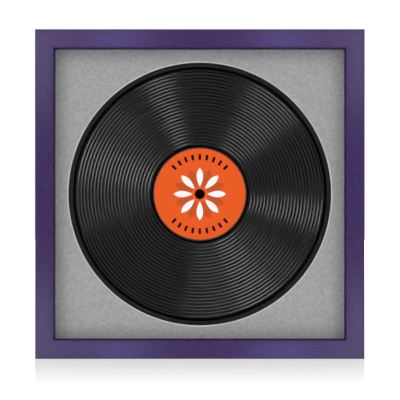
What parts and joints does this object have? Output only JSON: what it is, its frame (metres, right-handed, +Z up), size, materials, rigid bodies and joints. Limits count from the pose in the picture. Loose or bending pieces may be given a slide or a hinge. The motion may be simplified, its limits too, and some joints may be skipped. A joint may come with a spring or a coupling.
{
  "type": "vinyl record frame",
  "caption": "Square display frame that shows a twelve-inch record behind clear glazing in a round mat window, with turn buttons and D-ring hangers on its back.",
  "frame": {"origin": "on the underside of the bottom rail, at the middle of its length and of the rail's depth", "axes": "+X to the right seen from the front, +Y backward (the front faces -Y), +Z up"},
  "size_m": [0.376, 0.0258, 0.376],
  "materials": {
    "purple_lacquered_wood": "satin lacquer",
    "clear_acrylic": "clear polished",
    "grey_mat_board": "fine matte tooth, white core",
    "black_vinyl": "pressed, glossy ring bands",
    "orange_label_paper": "printed",
    "black_label_paper": "printed",
    "black_foam_board": "matte",
    "brown_hardboard": "smooth pressed fibre",
    "zinc_plated_steel": "bright zinc",
    "spring_steel": "bare",
    "grey_rubber": "smooth moulded"
  },
  "bodies": {
    "frame": {"rail_bottom": "purple_lacquered_wood", "rail_left": "purple_lacquered_wood", "rail_top": "purple_lacquered_wood", "rail_right": "purple_lacquered_wood", "glazing": "clear_acrylic", "window_mat": "grey_mat_board", "record": "black_vinyl", "label_front": "orange_label_paper", "label_back": "black_label_paper", "spacer_board": "black_foam_board", "filler_board": "black_foam_board", "backing_board": "brown_hardboard", "v_nail_bottom_left_outer": "spring_steel", "v_nail_bottom_left_inner": "spring_steel", "v_nail_top_left_outer": "spring_steel", "v_nail_top_left_inner": "spring_steel", "v_nail_top_right_outer": "spring_steel", "v_nail_top_right_inner": "spring_steel", "v_nail_bottom_right_outer": "spring_steel", "v_nail_bottom_right_inner": "spring_steel", "button_screw_bottom_left": "zinc_plated_steel", "button_screw_bottom_right": "zinc_plated_steel", "button_screw_left_upper": "zinc_plated_steel", "button_screw_left_lower": "zinc_plated_steel", "button_screw_top_right": "zinc_plated_steel", "button_screw_top_left": "zinc_plated_steel", "button_screw_right_lower": "zinc_plated_steel", "button_screw_right_upper": "zinc_plated_steel", "hanger_strap_left": "zinc_plated_steel", "hanger_strap_right": "zinc_plated_steel", "hanger_screw_left": "zinc_plated_steel", "hanger_screw_right": "zinc_plated_steel", "wall_bumper_left": "grey_rubber", "wall_bumper_right": "grey_rubber"},
    "button_bottom_left": {"turn_button_bottom_left": "zinc_plated_steel"},
    "button_bottom_right": {"turn_button_bottom_right": "zinc_plated_steel"},
    "button_left_upper": {"turn_button_left_upper": "zinc_plated_steel"},
    "button_left_lower": {"turn_button_left_lower": "zinc_plated_steel"},
    "button_top_right": {"turn_button_top_right": "zinc_plated_steel"},
    "button_top_left": {"turn_button_top_left": "zinc_plated_steel"},
    "button_right_lower": {"turn_button_right_lower": "zinc_plated_steel"},
    "button_right_upper": {"turn_button_right_upper": "zinc_plated_steel"},
    "ring_left": {"hanger_ring_left": "zinc_plated_steel"},
    "ring_right": {"hanger_ring_right": "zinc_plated_steel"}
  },
  "joints": [
    {"name": "button_turn_bottom_left", "type": "hinge", "parent": "frame", "child": "button_bottom_left", "pos_m": [-0.1128, 0.0109, 0.00827], "axis": [0, 1, 0], "range_deg": [-90, 90]},
    {"name": "button_turn_bottom_right", "type": "hinge", "parent": "frame", "child": "button_bottom_right", "pos_m": [0.1128, 0.0109, 0.00827], "axis": [0, 1, 0], "range_deg": [-90, 90]},
    {"name": "button_turn_left_upper", "type": "hinge", "parent": "frame", "child": "button_left_upper", "pos_m": [-0.17972, 0.0109, 0.3008], "axis": [0, 1, 0], "range_deg": [-90, 90]},
    {"name": "button_turn_left_lower", "type": "hinge", "parent": "frame", "child": "button_left_lower", "pos_m": [-0.17972, 0.0109, 0.0752], "axis": [0, 1, 0], "range_deg": [-90, 90]},
    {"name": "button_turn_top_right", "type": "hinge", "parent": "frame", "child": "button_top_right", "pos_m": [0.1128, 0.0109, 0.36773], "axis": [0, 1, 0], "range_deg": [-90, 90]},
    {"name": "button_turn_top_left", "type": "hinge", "parent": "frame", "child": "button_top_left", "pos_m": [-0.1128, 0.0109, 0.36773], "axis": [0, 1, 0], "range_deg": [-90, 90]},
    {"name": "button_turn_right_lower", "type": "hinge", "parent": "frame", "child": "button_right_lower", "pos_m": [0.17972, 0.0109, 0.0752], "axis": [0, 1, 0], "range_deg": [-90, 90]},
    {"name": "button_turn_right_upper", "type": "hinge", "parent": "frame", "child": "button_right_upper", "pos_m": [0.17972, 0.0109, 0.3008], "axis": [0, 1, 0], "range_deg": [-90, 90]},
    {"name": "ring_swing_left", "type": "hinge", "parent": "frame", "child": "ring_left", "pos_m": [-0.1734, 0.0128, 0.25944], "axis": [0, 0, 1], "range_deg": [-5, 175]},
    {"name": "ring_swing_right", "type": "hinge", "parent": "frame", "child": "ring_right", "pos_m": [0.1734, 0.0128, 0.25944], "axis": [0, 0, -1], "range_deg": [-5, 175]}
  ]
}
